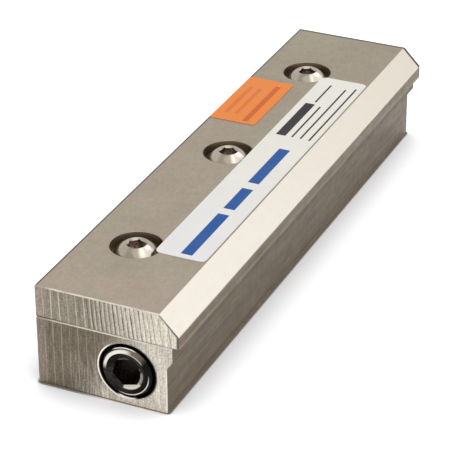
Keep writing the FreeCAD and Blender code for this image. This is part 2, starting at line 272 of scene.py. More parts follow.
def clouded(tree, spot, size):
    """A mask of clouds about size millimetres across."""
    return place_group(tree, smudges, Vector=spot, Size=size)["Mask"]


def scored(tree, spot, tone, *layers):
    """A tone with layers of grain over it."""
    for stretch, contrast, far in layers:
        tone = shaded(tree, tone, grained(tree, spot, stretch, contrast), far)
    return tone


print("two noise groups")

# %% [markdown]
# The bar was cut to length across its ends, and the cutter left a row of thin upright lines
# there. They stand about 2 mm apart at the back, crowd together under the screws and lean over
# as they go, and no two are equally strong. So the group counts lines from the back face, speeds
# the count up where they crowd, and gives each number its own strength. Distances are turned
# back to millimetres, which keeps the lines equally thin where they crowd.

# %% Cutter marks
BACK = cad_box[1][1] / MM
CAP_MIDDLE = 21.0
CROWD_FROM, CROWD_TO = 13.5, 30.0
FAINTEST, MOST_WORN, WORN_PATCHES = 0.5, 0.45, ((1.3, 1.3, 0.35), 2.6)
SHARP_CORE = 0.3
WANDER, BETWEEN = 0.1, 0.6

cutter_marks, takes, gives = new_group(
    "cutter_marks",
    [("Vector", VECTOR, None), ("Start", FLOAT, 0.0), ("Pitch", FLOAT, 2.0),
     ("Extra", FLOAT, 0.0), ("Lean", FLOAT, 0.0), ("Width", FLOAT, 0.15)],
    [("Light", FLOAT), ("Dark", FLOAT)])


def line_count(tree, takes):
    """How many lines lie between the back face and this point, and their spacing here."""
    _, along_y, up = split(tree, takes["Vector"])
    from_back = maths(tree, "SUBTRACT", BACK, along_y)
    above = maths(tree, "SUBTRACT", up, CAP_MIDDLE)
    leant = maths(tree, "ADD", from_back, times(tree, takes["Lean"], from_back, above))
    even = maths(tree, "DIVIDE", maths(tree, "SUBTRACT", leant, takes["Start"]), takes["Pitch"])
    share = ramp(tree, leant, CROWD_FROM, CROWD_TO, smooth=False)
    count = maths(tree, "MULTIPLY_ADD", share, takes["Extra"], even)
    inside = maths(tree, "COMPARE", share, 0.5, 0.499)
    per_mm = maths(tree, "MULTIPLY_ADD", times(tree, inside, takes["Extra"]),
                   1 / (CROWD_TO - CROWD_FROM), maths(tree, "DIVIDE", 1.0, takes["Pitch"]))
    return count, maths(tree, "DIVIDE", 1.0, per_mm)


def broken_line(tree, takes, count, spacing, shift):
    """Thin lines at every whole number of the shifted count, each with its own strength."""
    shifted = maths(tree, "ADD", count, shift)
    number = maths(tree, "ROUND", shifted)
    off = maths(tree, "ABSOLUTE", maths(tree, "SUBTRACT", shifted, number))
    thin = ramp(tree, times(tree, off, spacing), takes["Width"],
                times(tree, takes["Width"], SHARP_CORE))
    strength = add(tree, "ShaderNodeTexWhiteNoise", {"W": number}, noise_dimensions="1D")
    patches = grained(tree, takes["Vector"], *WORN_PATCHES)
    return times(tree, thin, ramp(tree, strength.outputs["Value"], 0.0, 1.0, FAINTEST, 1.0),
                 ramp(tree, patches, 0.15, 0.6, MOST_WORN, 1.0))


count, spacing = line_count(cutter_marks, takes)
slow = add(cutter_marks, "ShaderNodeTexNoise",
           {"Vector": takes["Vector"], "Scale": 0.3, "Detail": 1.0})
count = maths(cutter_marks, "MULTIPLY_ADD", slow.outputs["Fac"], WANDER, count)
for name, shift in (("Light", 0.0), ("Dark", BETWEEN)):
    line = broken_line(cutter_marks, takes, count, spacing, shift)
    cutter_marks.links.new(line, gives[name])
print("cutter marks in", len(cutter_marks.nodes), "nodes")

# %% [markdown]
# Two more groups only measure. A bore's wall, a turned face and a thread are all finished by
# their distance from an axis: the three screws stand in a row across the top, and one long axis
# runs through both ports. A wrapped coordinate makes one axis serve for all three screws. Round
# the ports and on the heads, painted light and shade also lie to one side, which is told by the
# dot product of a point's direction with that side's. A side is written as degrees, and two
# products between which it sets in.

# %% Distances from the axes
SCREW_PITCH, SCREW_LINE = 50.8, 4.95
PORT_Y, PORT_Z = -4.95, 8.7
PLACED = [("Radius", FLOAT), ("Back", FLOAT), ("Across", FLOAT)]


def distance(tree, across, up):
    """How far the point (across, up) is from nought."""
    squares = maths(tree, "MULTIPLY_ADD", across, across, maths(tree, "MULTIPLY", up, up))
    return maths(tree, "SQRT", squares)


def give_place(tree, gives, back, across):
    """Hands out a place about an axis: radius, how far back and how far across that."""
    found = {"Radius": distance(tree, back, across), "Back": back, "Across": across}
    for name, value in found.items():
        tree.links.new(value, gives[name])


screw_row, takes, gives = new_group("screw_row", [("Vector", VECTOR, None)], PLACED)
along, depth, _ = split(screw_row, takes["Vector"])
give_place(screw_row, gives, maths(screw_row, "SUBTRACT", depth, SCREW_LINE),
           maths(screw_row, "WRAP", along, SCREW_PITCH / 2, -SCREW_PITCH / 2))

port_axis, takes, gives = new_group("port_axis", [("Vector", VECTOR, None)], PLACED)
_, depth, up = split(port_axis, takes["Vector"])
give_place(port_axis, gives, maths(port_axis, "SUBTRACT", depth, PORT_Y),
           maths(port_axis, "SUBTRACT", up, PORT_Z))


def on_side(tree, placed, degrees, low, high, most=1.0):
    """A mask that is strongest straight towards one side of an axis.

    Degrees run from the back over the top round a port, and over the inlet end round a screw.
    """
    part = maths(tree, "MULTIPLY", placed["Back"], math.cos(math.radians(degrees)))
    whole = maths(tree, "MULTIPLY_ADD", placed["Across"], math.sin(math.radians(degrees)), part)
    return ramp(tree, maths(tree, "DIVIDE", whole, placed["Radius"]), low, high, 0.0, most)


def band(tree, radius, middle, half):
    """A ring with soft sides."""
    off = maths(tree, "ABSOLUTE", maths(tree, "SUBTRACT", radius, middle))
    return ramp(tree, off, half, half * 0.7)


print("groups:", ", ".join(group.name for group in bpy.data.node_groups))

# %% [markdown]
# ## Stainless bar
#
# The body and the cap are milled from the same stainless bar, but each face was left by another
# cut. The top is ground: it greys a little towards the inlet end, and carries faint clouds, some
# of them greener, and fine scratches. The bevel is the finest cut of all, and its near-white tone
# is partly painted reflection. The front is planed lengthwise, and its dark tone is partly painted
# shade: it is a little paler on the lip, above all along the lip's lower edge, darkest on the nose
# under the lip, where shade is painted, and lighter towards its foot, where light is painted. The
# back and the underside are as drawn. Each finish below is a function that gives a colour, and
# the normal then says which of them a face wears. Heights and places are pairs, between which
# one tone turns into the next.

# %% Finishes of the long faces
GROUND_NEAR, GROUND_FAR = colour(170, 156, 141), colour(156, 145, 127)
GROUND_GREEN = colour(158, 153, 133)
# The bevel's near-white tone is partly painted reflection, the front's dark tone partly painted
# shade, the nose's darker tone painted shade, and the foot's pale tone painted light.
BEVEL_NEAR, BEVEL_FAR = colour(230, 223, 213), colour(216, 208, 195)
PLANED_AND_SHADED, UNDER_LIP_SHADE = colour(102, 89, 71), colour(86, 74, 58)
LIP_TONE, LIP_EDGE, FOOT_LIGHT = colour(106, 92, 70), colour(118, 105, 82), colour(214, 200, 180)
DRAWN = colour(150, 141, 127)
BRIGHT, DARK = colour(244, 238, 226), colour(62, 53, 44)

TOP_LENGTH, BEVEL_LENGTH = (-70.0, 70.0), (-70.0, 80.0)
TOP_CLOUDS, GREEN_CLOUDS = 14.0, 22.0
TOP_SCRATCHES = (0.8, 1.8, 1.0), 2.4, 0.09
BEVEL_LINES = (0.03, 2.5, 2.5), 1.4, 0.025
BROAD_LINES = (0.03, 1.2, 1.2), 2.6, 0.2
FINE_LINES = (0.08, 3.4, 3.4), 3.0, 0.3
DRAWN_LINES = (0.05, 2.2, 2.2), 2.0, 0.12

LIP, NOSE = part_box("knife_cap")[0][2] / MM, 13.7
NOSE_STEP, LIP_STEP = (NOSE - 0.1, NOSE + 0.2), (LIP - 0.02, LIP + 0.02)
LIP_EDGE_STEP, CREST_STEP = (LIP + 1.3, LIP + 0.5), (LIP + 2.95, LIP + 3.3)
FOOT_SHADE, FOOT_STEP = (7.0, 1.0), (0.9, 0.5)


def ground_top(tree, spot):
    """Faint clouds and fine scratches, over a tone that greys towards the inlet end."""
    along, _, _ = split(tree, spot)
    tone = mix(tree, ramp(tree, along, *TOP_LENGTH, smooth=False), GROUND_NEAR, GROUND_FAR)
    green = ramp(tree, clouded(tree, spot, GREEN_CLOUDS), 0.3, 1.0, 0.0, 0.6)
    tone = shaded(tree, mix(tree, green, tone, GROUND_GREEN),
                  clouded(tree, spot, TOP_CLOUDS), 0.05)
    return scored(tree, spot, tone, TOP_SCRATCHES)


def fine_bevel(tree, spot):
    """The palest face, partly painted reflection, a little greyer towards the inlet end."""
    along, _, _ = split(tree, spot)
    tone = mix(tree, ramp(tree, along, *BEVEL_LENGTH, smooth=False), BEVEL_NEAR, BEVEL_FAR)
    return scored(tree, spot, tone, BEVEL_LINES)


def planed_front(tree, spot):
    """Dark lines on partly painted shade, darkest on the nose, paler lip, painted light at foot.
    """
    _, _, up = split(tree, spot)
    # Painted light towards the foot, then painted shade on the nose under the lip.
    low = shaded(tree, PLANED_AND_SHADED, ramp(tree, up, *FOOT_SHADE, 0.5, 1.0), 0.3)
    below = mix(tree, ramp(tree, up, *NOSE_STEP), low, UNDER_LIP_SHADE)
    lip = mix(tree, ramp(tree, up, *LIP_EDGE_STEP), LIP_TONE, LIP_EDGE)
    tone = mix(tree, ramp(tree, up, *LIP_STEP), below, lip)
    tone = mix(tree, ramp(tree, up, *FOOT_STEP, 0.0, 0.6), tone, FOOT_LIGHT)
    tone = mix(tree, ramp(tree, up, *CREST_STEP, 0.0, 0.8), tone, BEVEL_NEAR)
    return scored(tree, spot, tone, BROAD_LINES, FINE_LINES)


def drawn_side(tree, spot):
    """The bar's own skin, with faint lines along it."""
    return scored(tree, spot, DRAWN, DRAWN_LINES)


print("long faces: ground, fine cut, planed and drawn, with the lip above", round(LIP, 2), "mm")

# %% [markdown]
# The sawn ends are the liveliest faces. Fine upright streaks lie under the cutter's lines, with
# a patch of denser scores low down beside the port. The cap's end is paler than the body's, and
# both turn pale towards the lip as painted reflection: sooner near the foot, and on the body later
# near the parting. Lower down, both are lighter as painted light.
#
# The two ends differ only in numbers, which are kept in one table: the tones at the back and at
# the front and how far from the back face one turns into the other, where the lines start, how
# many more of them crowd together, how far they lean, how strong the dark and the light ones are
# and where the light ones fade, how clearly the bar's old skin shows along the back, and the
# height from which the tone pales later.

# %% Finish of the ends
# The tones at the back and the front, and the turn between them, are painted reflection.
SAWN = {
    "knife_cap": {"back": colour(140, 131, 116), "front": colour(208, 200, 185),
                  "from": 10.0, "to": 32.0, "start": 0.0, "extra": 7.5, "lean": 0.0045,
                  "dark": 1.0, "light": 0.46, "fade": 46.0, "skin": 0.7, "shade": 40.0},
    "knife_body": {"back": colour(113, 103, 89), "front": colour(204, 196, 183),
                   "from": 13.0, "to": 28.0, "start": 0.2, "extra": 0.0, "lean": 0.0,
                   "dark": 0.0, "light": 0.21, "fade": 20.0, "skin": 0.4, "shade": 13.0},
}
LINE_PITCH, LINE_WIDTH, FADE_LENGTH = 2.1, 0.17, 10
DARK_FROM, DARK_TO = (8.0, 15.0), (34.0, 25.0)
SKIN, SKIN_STRIP = colour(154, 139, 126), (3.6, 1.4)
PATCH_TOP, PATCH_BACK, PATCH_FRONT = (12.0, 6.0), (6.5, 10.0), (21.0, 16.0)
FOOT_HEIGHT, SOONER, LATER = 6.0, 1.2, -0.8
LIGHTER_DOWN, SCORED_PALER = (16.0, 0.0), 0.05
STREAKS = (1.0, 2.8, 0.3), 3.2, 0.24
SCORES = (1.0, 2.4, 0.25), 5.0, 0.36
PORES = (1.8, 1.8, 2.6), 3.6, 0.24


def from_the_back(tree, spot):
    """How far a point is from the knife's back face."""
    _, along_y, _ = split(tree, spot)
    return maths(tree, "SUBTRACT", BACK, along_y)


def paling(tree, from_back, up, look):
    """0 where an end has its back's tone, 1 where it has its front's. The turn is painted
    reflection.
    """
    foot = maths(tree, "MAXIMUM", maths(tree, "SUBTRACT", FOOT_HEIGHT, up), 0.0)
    shade = maths(tree, "MAXIMUM", maths(tree, "SUBTRACT", up, look["shade"]), 0.0)
    place = maths(tree, "MULTIPLY_ADD", foot, SOONER, from_back)
    place = maths(tree, "MULTIPLY_ADD", shade, LATER, place)
    return ramp(tree, place, look["from"], look["to"])


def scored_patch(tree, from_back, up):
    """Where the dense scores are: low on the end, beside the port."""
    return times(tree, ramp(tree, up, *PATCH_TOP), ramp(tree, from_back, *PATCH_BACK),
                 ramp(tree, from_back, *PATCH_FRONT))


def cutter_lines(tree, spot, from_back, look):
    """The light and the dark lines, each as strong as on this end."""
    marks = place_group(tree, cutter_marks, Vector=spot, Start=look["start"], Pitch=LINE_PITCH,
                        Extra=look["extra"], Lean=look["lean"], Width=LINE_WIDTH)
    left = ramp(tree, from_back, look["fade"], look["fade"] - FADE_LENGTH)
    light = times(tree, marks["Light"], left, look["light"])
    dark = times(tree, marks["Dark"], ramp(tree, from_back, *DARK_FROM),
                 ramp(tree, from_back, *DARK_TO, 0.65, 1.0), look["dark"])
    return light, dark


def sawn_end(tree, spot, look):
    """The tone of one end, and the relief of the lines on it."""
    _, _, up = split(tree, spot)
    from_back = from_the_back(tree, spot)
    tone = mix(tree, paling(tree, from_back, up, look), look["back"], look["front"])
    tone = mix(tree, ramp(tree, from_back, *SKIN_STRIP, 0.0, look["skin"]), tone, SKIN)
    tone = scored(tree, spot, tone, STREAKS)
    dense = scored(tree, spot, mix(tree, SCORED_PALER, tone, BRIGHT), SCORES)
    tone = mix(tree, scored_patch(tree, from_back, up), tone, dense)
    # Lighter towards the bottom, as painted light.
    tone = shaded(tree, scored(tree, spot, tone, PORES), ramp(tree, up, *LIGHTER_DOWN), 0.06)
    light, dark = cutter_lines(tree, spot, from_back, look)
    tone = mix(tree, dark, mix(tree, light, tone, BRIGHT), DARK)
    return tone, maths(tree, "SUBTRACT", light, dark)


print("ends:", ", ".join(SAWN))

# %% [markdown]
# The masks come from the object's own normal, so they follow the solids exactly. A broken edge or
# a countersunk mouth points halfway between two faces. Where it looks up or forward it gets a
# painted highlight, and where it looks down or back painted shade, except along the foot, which
# gets painted light too. A mask sets in between two values of the normal, and both are named.

# %% Masks from the normal
SQUARE_ON, FORWARD, ENDWAYS = (0.80, 0.95), (0.72, 0.79), (0.3, 0.6)
HALFWAY, IN_LIGHT, FRONT_LIGHT = (0.92, 0.85), (-0.35, 0.45), -0.7


def face_masks(tree, normal):
    """Which way a face looks: up, at the bevel's slope, forward or endways."""
    side, depth, height = split(tree, normal)
    ahead = maths(tree, "MULTIPLY", depth, -1.0)
    endways = maths(tree, "ABSOLUTE", side)
    slope = times(tree, ahead, height, 2.0)
    return {"up": ramp(tree, height, *SQUARE_ON), "bevel": ramp(tree, slope, *SQUARE_ON),
            "front": ramp(tree, ahead, *FORWARD), "end": ramp(tree, endways, *SQUARE_ON),
            "outer": ramp(tree, endways, *ENDWAYS)}


def edge_masks(tree, normal):
    """Faces that look halfway between two of the bar's, and which of those are in the light."""
    _, depth, height = split(tree, normal)
    turned = add(tree, "ShaderNodeVectorMath", {0: normal}, operation="ABSOLUTE").outputs[0]
    x, y, z = split(tree, turned)
    most = maths(tree, "MAXIMUM", x, maths(tree, "MAXIMUM", y, z))
    lit = maths(tree, "MULTIPLY_ADD", depth, FRONT_LIGHT, height)
    return ramp(tree, most, *HALFWAY), ramp(tree, lit, *IN_LIGHT)


print("an edge begins where no part of the normal is above", HALFWAY[0])

# %% [markdown]
# Inside the counterbores the metal stays dark, with the rings that the cutter left, and their rims
# get painted shade. Inside the ports it is painted black as shade, with the same rings and a
# painted highlight low down. Round the plug's port the end face has a painted highlight behind
# and a painted shadow in front. Thin dark lines also lie along the parting and the bevel on the
# ends, and along the top's back and inlet edges. They could be painted, but each is a place that a
# drawing gives, so a measure finds it.

# %% Bores, ports and dirty edges
# The first tone is a painted highlight on lit edges, the second painted shade on unlit edges and
# on the bores' rims.
EDGE_HIGHLIGHT, EDGE_SHADE, BORED = colour(226, 218, 205), colour(98, 88, 76), colour(150, 137, 119)
# The black tone is painted shade and shadow, and the palest tone painted highlight and light.
BLACK_SHADE, DARK_LINE = colour(36, 31, 28), colour(70, 63, 56)
HIGHLIGHT_PALE = colour(246, 241, 232)

BORE = {"knife_cap": 6.26, "knife_body": 3.2}
RIM_FROM, RIM_TO, WALL_FROM = 0.25, 0.15, 0.03
BORE_RINGS = (0.25, 0.25, 4.0), 2.5
COUNTERSINK, LOW_WALL = (7.14, 7.1), (6.86, 6.91)
# A painted shadow beside the port, a painted highlight round it, and another low inside it.
SHADOW_RING, SHADOW_SIDE = (7.6, 7.2), (165, 0.1, 0.7, 0.85)
MOUTH_HIGHLIGHT_RING, MOUTH_HIGHLIGHT_SIDE = (7.3, 0.19), (-17, 0.1, 0.6)
LOW_SIDE = 272, 0.93, 0.98
LINE_RUN, LINE_RISE, LIP_HEIGHT = 4.6, 5.15, 3.4
SHARP_LINE = -0.75, -0.25
PARTING_FOOT, PARTING_TOP = (LIP - 0.04, LIP), (LIP + 0.5, LIP + 0.25)
PARTING_LENGTH = 11.0, 3.5
BROKEN_EDGE = 0.25
INLET_EDGE = cad_box[1][0] / MM - BROKEN_EDGE
INLET_LINE = INLET_EDGE - 0.9, INLET_EDGE - 0.5
BACK_LINE = BROKEN_EDGE + 0.5, BROKEN_EDGE + 0.2


def screw_bore(tree, spot, base, rings, bore):
    """A screw's bore in a face: painted shade on its rim, and a dark wall inside it."""
    radius = place_group(tree, screw_row, Vector=spot)["Radius"]
    rim = ramp(tree, radius, bore + RIM_FROM, bore + RIM_TO, 0.0, 0.6)
    base = mix(tree, rim, base, EDGE_SHADE)
    wall = shaded(tree, BORED, rings, 0.3)
    return mix(tree, ramp(tree, radius, bore + WALL_FROM, bore), base, wall)


def port_mouth(tree, spot, base, rings, outer):
    """The end face round a port: painted highlight behind, painted shadow in front, black shade
    inside.
    """
    port = place_group(tree, port_axis, Vector=spot)
    radius = port["Radius"]
    mouth_shadow = times(tree, ramp(tree, radius, *SHADOW_RING), outer, on_side(tree, port, *SHADOW_SIDE))
    mouth_highlight = times(tree, band(tree, radius, *MOUTH_HIGHLIGHT_RING), outer,
                   on_side(tree, port, *MOUTH_HIGHLIGHT_SIDE))
    base = mix(tree, mouth_highlight, mix(tree, mouth_shadow, base, BLACK_SHADE), HIGHLIGHT_PALE)
    low = times(tree, ramp(tree, radius, *LOW_WALL), on_side(tree, port, *LOW_SIDE))
    inside = mix(tree, low, shaded(tree, BLACK_SHADE, rings, 0.4), HIGHLIGHT_PALE)
    return mix(tree, ramp(tree, radius, *COUNTERSINK), base, inside)


def dark_edge_lines(tree, from_back, up):
    """Dark lines on the cap's end: at the bevel and the lip, and at the back of the parting.

    The bevel's line is a little steeper than the bevel, so it thins out towards the top.
    """
    beyond = maths(tree, "SUBTRACT", from_back, 2 * BACK)
    above = maths(tree, "SUBTRACT", up, LIP + LIP_HEIGHT)
    slant = maths(tree, "MULTIPLY", beyond, LINE_RISE)
    slant = maths(tree, "MULTIPLY_ADD", above, LINE_RUN, slant)
    slant = maths(tree, "DIVIDE", slant, math.hypot(LINE_RUN, LINE_RISE))
    sharp = ramp(tree, maths(tree, "MAXIMUM", beyond, slant), *SHARP_LINE, 0.0, 0.9)
    parting = times(tree, ramp(tree, up, *PARTING_FOOT), ramp(tree, up, *PARTING_TOP),
                    ramp(tree, from_back, *PARTING_LENGTH))
    return maths(tree, "MAXIMUM", sharp, parting)


print("bores darken within", BORE, "mm of a screw's axis")

# %% [markdown]
# With those, the bar's material is put together in layers, as the bar was made: its own skin, its
# broken edges with their painted highlights and shade, the faces that were cut, the thin dark
# lines on them, and last the bores and ports with their painted shade and highlights. Where the
# cutter's lines lie on an end, they also give the bump a little relief.

# %% Stainless bar material
EDGE_CLOUD_SIZE, FOOT_EDGE = 2.5, (0.7, 0.4)
SHADE_FADES, SHINE_STARTS = (3.0, 12.0), (2.0, 5.0)


def broken_edge(tree, end, lit, outer, from_back, up):
    """A broken edge: painted highlight in the light, painted light at the foot, painted shade
    elsewhere.
    """
    unshaded = times(tree, outer, ramp(tree, from_back, *SHADE_FADES))
    shaded_edge = mix(tree, unshaded, mix(tree, outer, EDGE_SHADE, BLACK_SHADE), end)
    foot = mix(tree, outer, FOOT_LIGHT, mix(tree, 0.95, end, HIGHLIGHT_PALE))
    shaded_edge = mix(tree, ramp(tree, up, *FOOT_EDGE), shaded_edge, foot)
    shine = mix(tree, ramp(tree, from_back, *SHINE_STARTS, 0.4, 1.0), end, EDGE_HIGHLIGHT)
    return mix(tree, lit, shaded_edge, shine)


def bar_steel(name, node):
    """The milled stainless of one bar."""
    made, tree, spot, normal = new_material(name)
    clouds = clouded(tree, spot, EDGE_CLOUD_SIZE)
    edge, lit = edge_masks(tree, normal)
    masks = face_masks(tree, normal)
    along, _, up = split(tree, spot)
    from_back = from_the_back(tree, spot)
    end, relief = sawn_end(tree, spot, SAWN[node])
    # Broken edges, unevenly, where painted highlight and shade go.
    edge_part = times(tree, edge, ramp(tree, clouds, 0.0, 1.0, 0.65, 1.0))
    base = mix(tree, edge_part, drawn_side(tree, spot),
               broken_edge(tree, end, lit, masks["outer"], from_back, up))
    edge_line = maths(tree, "MAXIMUM", ramp(tree, along, *INLET_LINE),
                 ramp(tree, from_back, *BACK_LINE))
    for mask, tone in (("up", ground_top(tree, spot)), ("bevel", fine_bevel(tree, spot)),
                       ("front", planed_front(tree, spot))):
        base = mix(tree, masks[mask], base, mix(tree, edge_line, tone, DARK_LINE))
    base = mix(tree, masks["end"], base, mix(tree, dark_edge_lines(tree, from_back, up), end, DARK_LINE))
    rings = grained(tree, spot, *BORE_RINGS)
    base = screw_bore(tree, spot, base, rings, BORE[node])
    base = port_mouth(tree, spot, base, rings, masks["outer"])
    rough = ramp(tree, clouds, 0.0, 1.0, 0.34, 0.42)
    finish_material(tree, base, rough, 1.0, times(tree, relief, masks["end"]))
    return made


for node in SAWN:
    dress(node, bar_steel(f"{node}_stainless", node))

# %% [markdown]
# ## Screws, plug and shim
#
# The button heads are turned and left satin, so they carry faint rings about their own axis. Each
# has painted shade on the side of the plug and a painted highlight towards the front. Their
# sockets are broached, and their darker tone is painted shade, with painted glints in it. The
# rings could be modelled, but they are finer than a hair, and a colour that follows the radius is
# enough.

# %% Screw and plug steel
TURNED_RINGS, HANDLED = ((5.0, 1.0, 1.0), 2.0), 3.0
HEAD_TOP = cad_box[1][2] / MM
SOCKET_WALL, SOCKET_DEPTH = (2.36, 2.32), (HEAD_TOP - 0.40, HEAD_TOP - 0.47)
# The sockets' darker tone is painted shade, with painted glints.
SOCKET_GLINTS = (2.0, 2.0, 1.4), 4.0, 0.6
HEAD, SOCKET_SHADE = colour(174, 165, 151), colour(162, 150, 140)
# Painted shade on the plug's side of each head, and a painted highlight towards the front.
HEAD_LIGHT_AND_SHADE = (
    (256, 0.80, 0.97, 0.8, colour(140, 131, 117)),
    (205, 0.80, 0.97, 0.8, colour(234, 226, 212)),
)


def turned_steel(name, axis, tone, spread, roughness):
    """Rings round an axis. Gives the material's parts, for more to be laid over them."""
    made, tree, spot, _ = new_material(name)
    placed = place_group(tree, axis, Vector=spot)
    ringed = add(tree, "ShaderNodeCombineXYZ", {0: placed["Radius"]})
    rings = grained(tree, ringed.outputs[0], *TURNED_RINGS)
    clouds = clouded(tree, spot, HANDLED)
    base = shaded(tree, shaded(tree, tone, rings, spread), clouds, 0.08)
    return made, tree, spot, placed, base, ramp(tree, clouds, 0.0, 1.0, roughness, roughness + 0.1)


made, tree, spot, screw, base, rough = turned_steel("screw_stainless", screw_row, HEAD, 0.09, 0.2)
for side, low, high, most, tone in HEAD_LIGHT_AND_SHADE:
    base = mix(tree, on_side(tree, screw, side, low, high, most), base, tone)
_, _, up = split(tree, spot)
inside = times(tree, ramp(tree, screw["Radius"], *SOCKET_WALL), ramp(tree, up, *SOCKET_DEPTH))
base = mix(tree, inside, base, scored(tree, spot, SOCKET_SHADE, SOCKET_GLINTS))
finish_material(tree, base, rough, 1.0)
for number in (1, 2, 3):
    dress(f"cap_screw_{number}", made)

# %% [markdown]
# The plug's face is painted with light and shade. Its upper back has a painted highlight, the
# strip beside that is a painted half-light in grey, and the rest is painted shade, whose edge lies
# a little off the middle, with lighter streaks on one side. Painted glints lie in small arcs: on
# the thread's first turn and the shade's edge at the top, on the face's edge low down in front,
# and on the foot of the dish round the socket. Each arc is a line of one table: the middle and
# half width of its ring, the side it lies on, how closely it keeps to that side, and its tone.
# Rings are told by radius plus depth, which grows all the way from the socket out to the thread.
# The hexagon's walls inside are a mid grey.

# %% Plug steel
PLUG_FACE = cad_box[0][0] / MM
# The bright tone is a painted highlight, and the grey one a painted half-light.
PLUG_BRIGHT, GREY = colour(226, 220, 207), colour(108, 99, 87)
# Painted shade, lighter painted streaks in it, and the hexagon's walls.
PLUG_SHADE, SHADE_STREAKS, HEX_GREY = colour(25, 22, 20), colour(58, 54, 51), colour(104, 100, 96)
HIGHLIGHT_SIDE, GREY_SIDE, STREAK_SIDE = (52, 0.56, 0.83), (102, 0.72, 0.97), (315, 0.2, 0.9)
HIGHLIGHT_RING, GREY_RING, STREAK_GRAIN = (6.05, 5.92), (7.4, 6.9), ((1.0, 0.6, 1.6), 3.5)
SHADE_EDGE, SHADE_BACK, SHADE_UP = (4.84, 4.74), 0.2, 0.1
HEX_DEPTH, HEX_WALL = (0.32, 0.4), (3.72, 3.68)
# Arcs of painted glints.
GLINT_ARCS = (
    (6.84, 0.44, 84, 0.86, 0.95, colour(250, 246, 238)),
    (4.95, 0.13, 114, 0.84, 0.94, colour(186, 176, 162)),
    (5.55, 0.13, 233, 0.45, 0.85, colour(222, 216, 203)),
    (3.90, 0.57, 249, 0.80, 0.87, colour(198, 191, 179)),
    (3.98, 0.34, 192, 0.86, 0.98, colour(142, 135, 128)),
    (3.75, 0.18, 78, 0.88, 0.96, colour(84, 82, 78)),
    (3.70, 0.30, 158, 0.996, 0.999, colour(120, 116, 108)),
)
made, tree, spot, plug, base, rough = turned_steel(
    "plug_stainless", port_axis, PLUG_BRIGHT, 0.08, 0.2)
along, _, _ = split(tree, spot)
depth = maths(tree, "SUBTRACT", along, PLUG_FACE)
ring = maths(tree, "ADD", plug["Radius"], depth)

thin = times(tree, on_side(tree, plug, *STREAK_SIDE), grained(tree, spot, *STREAK_GRAIN))
dark_tone = mix(tree, thin, PLUG_SHADE, SHADE_STREAKS)
highlit = times(tree, on_side(tree, plug, *HIGHLIGHT_SIDE), ramp(tree, ring, *HIGHLIGHT_RING))
grey = times(tree, on_side(tree, plug, *GREY_SIDE), ramp(tree, ring, *GREY_RING))
face = mix(tree, highlit, mix(tree, grey, dark_tone, GREY), base)
off_middle = distance(tree, maths(tree, "SUBTRACT", plug["Back"], SHADE_BACK),
                      maths(tree, "SUBTRACT", plug["Across"], SHADE_UP))
base = mix(tree, ramp(tree, off_middle, *SHADE_EDGE), face, dark_tone)
for middle, half, side, low, high, tone in GLINT_ARCS:
    arc = times(tree, band(tree, ring, middle, half), on_side(tree, plug, side, low, high))
    base = mix(tree, arc, base, tone)
inside = times(tree, ramp(tree, depth, *HEX_DEPTH), ramp(tree, plug["Radius"], *HEX_WALL))
finish_material(tree, mix(tree, inside, base, HEX_GREY), rough, 1.0)
dress("port_plug", made)

# %% [markdown]
# The shim between the body and the cap is rolled steel foil, 0.05 mm thick. Only its edge shows,
# as a hairline at the parting, but it still gets the foil's own lengthwise grain.

# %% Shim steel
FOIL, ROLLED_LINES = colour(150, 144, 134), ((0.08, 3.0, 3.0), 2.0)
made, tree, spot, _ = new_material("rolled_foil")
lines = grained(tree, spot, *ROLLED_LINES)
rough = ramp(tree, lines, 0.0, 1.0, 0.25, 0.35)
finish_material(tree, shaded(tree, FOIL, lines, 0.1), rough, 1.0)
dress("gap_shim", made)

# %% [markdown]
# ## Threads
#
# The solids have plain round walls where there is a thread. On the real knife the inlet has a
# tapered pipe thread, the underside three mounting threads, and the plug's first turn shows in
# its countersunk port. A helix could be made with the Screw modifier. Spinning one small section
# with a lift at every step does the same in one call and leaves plain geometry. The ridge runs
# out to nothing at both ends, as a tap leaves it.

# %% Helical ridges
STEPS = 48
FLANK, FLAT = 0.44, 0.07
RUN_OUT, SUNK = 0.6, 0.02


def ridge_section(shape, wall, crest, pitch):
    """A closed trapezium that stands on the wall at the start of the helix."""
    corners = [(wall, -FLANK), (crest, -FLAT), (crest, FLAT), (wall, FLANK)]
    points = [shape.verts.new((radius, 0, height * pitch)) for radius, height in corners]
    return shape.faces.new(points)


def run_out(shape, wall, crest, taper, length, fade):
    """Sinks the crest to the wall near both ends, and tapers it in between."""
    for point in shape.verts:
        radius = math.hypot(point.co.x, point.co.y)
        if abs(radius - crest) < abs(radius - wall):
            height = min(max(point.co.z, 0), length)
            share = min(1.0, min(height, length - height) / fade + SUNK)
            wanted = wall + (crest + taper * height - wall) * share
            point.co.xy *= wanted / radius


def helix(wall, crest, pitch, turns, taper):
    """A helical ridge along Z from nought, in millimetres."""
    shape = bmesh.new()
    section = ridge_section(shape, wall, crest, pitch)
    parts = [*section.verts, *section.edges, section]
    bmesh.ops.spin(shape, geom=parts, cent=(0, 0, 0), axis=(0, 0, 1), angle=math.tau * turns,
                   steps=round(STEPS * turns), dvec=(0, 0, pitch / STEPS), use_merge=False)
    run_out(shape, wall, crest, taper, pitch * turns, pitch * RUN_OUT)
    open_edges = [edge for edge in shape.edges if edge.is_boundary]
    bmesh.ops.holes_fill(shape, edges=open_edges, sides=0)
    return shape


